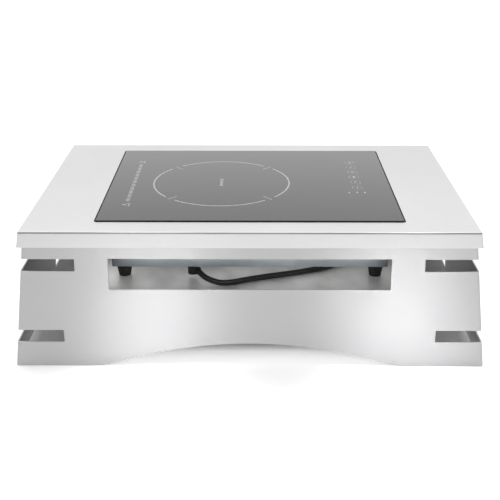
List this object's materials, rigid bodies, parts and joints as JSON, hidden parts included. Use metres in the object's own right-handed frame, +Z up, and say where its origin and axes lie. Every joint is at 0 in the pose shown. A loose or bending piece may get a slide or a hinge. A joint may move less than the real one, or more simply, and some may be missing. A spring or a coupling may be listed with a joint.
{
  "type": "built-in induction hot plate in a steel buffet stand",
  "caption": "Glass-topped induction hot plate dropped into a flared stainless-steel table stand with an arched base, a front window and notched corners.",
  "frame": {"origin": "centre of the stand's footprint on the table", "axes": "+X to the right of a person facing the front, +Y towards the rear, +Z up; the front faces -Y"},
  "size_m": [0.5492, 0.4946, 0.1652],
  "materials": {
    "wall_steel": "satin stainless, faint vertical grain",
    "tray_steel": "fine bead-blasted satin stainless",
    "inner_steel": "brushed stainless",
    "fixing_steel": "zinc-plated",
    "ceramic_glass": "polished black glass-ceramic with pale grey print",
    "sealant": "satin silicone",
    "galvanised": "blue-grey galvanised sheet",
    "black_rubber": "matt rubber",
    "blanket": "felted ceramic fibre",
    "copper_wire": "lacquered copper litz",
    "black_plastic": "moulded",
    "ferrite": "pressed",
    "circuit_board": "solder mask",
    "sink_aluminium": "extruded",
    "component_black": "moulded epoxy",
    "component_yellow": "dipped film",
    "red_sleeve": "silicone sleeve",
    "white_plastic": "moulded",
    "brass_metal": "plated",
    "lamp_red": "clear red epoxy",
    "ribbon": "flat cable",
    "lead_sheath": "satin mains-lead sheath",
    "strap_cloth": "hook-and-loop strap",
    "pin_metal": "nickel-plated"
  },
  "bodies": {
    "stand_and_hob": {"front_panel": "wall_steel", "rear_panel": "wall_steel", "left_panel": "wall_steel", "right_panel": "wall_steel", "tray_top": "tray_steel", "glass_ledge": "inner_steel", "corner_brackets": "inner_steel", "tray_studs": "fixing_steel", "stud_nuts": "fixing_steel", "inner_shelf": "inner_steel", "glass_plate": "ceramic_glass", "glass_seal": "sealant", "housing_pan": "galvanised", "housing_tabs": "galvanised", "tab_screws": "fixing_steel", "hob_feet": "black_rubber", "foot_screws": "fixing_steel", "heat_blanket": "blanket", "coil_winding": "copper_wire", "coil_carrier": "black_plastic", "ferrite_bars": "ferrite", "coil_posts": "fixing_steel", "pan_sensor": "white_plastic", "power_board": "circuit_board", "board_standoffs": "brass_metal", "heatsink": "sink_aluminium", "power_transistor": "component_black", "bridge_rectifier": "component_black", "film_capacitors": "component_yellow", "line_choke": "copper_wire", "terminal_block": "white_plastic", "coil_leads": "red_sleeve", "fan_frame": "black_plastic", "fan_motor": "fixing_steel", "fan_screws": "fixing_steel", "air_duct": "black_plastic", "control_board": "circuit_board", "control_tray": "white_plastic", "touch_springs": "brass_metal", "display_lamps": "lamp_red", "ribbon_cable": "ribbon", "lead_gland": "black_rubber", "mains_lead": "lead_sheath", "lead_coil": "lead_sheath", "lead_tail": "lead_sheath", "lead_tie": "strap_cloth", "plug_body": "lead_sheath", "plug_pins": "pin_metal"},
    "fan_wheel": {"fan_rotor": "black_plastic"}
  },
  "joints": [
    {"name": "fan_spin", "type": "hinge", "parent": "stand_and_hob", "child": "fan_wheel", "pos_m": [0.11, 0.062, 0.11], "axis": [0, 0, 1], "continuous": true}
  ]
}
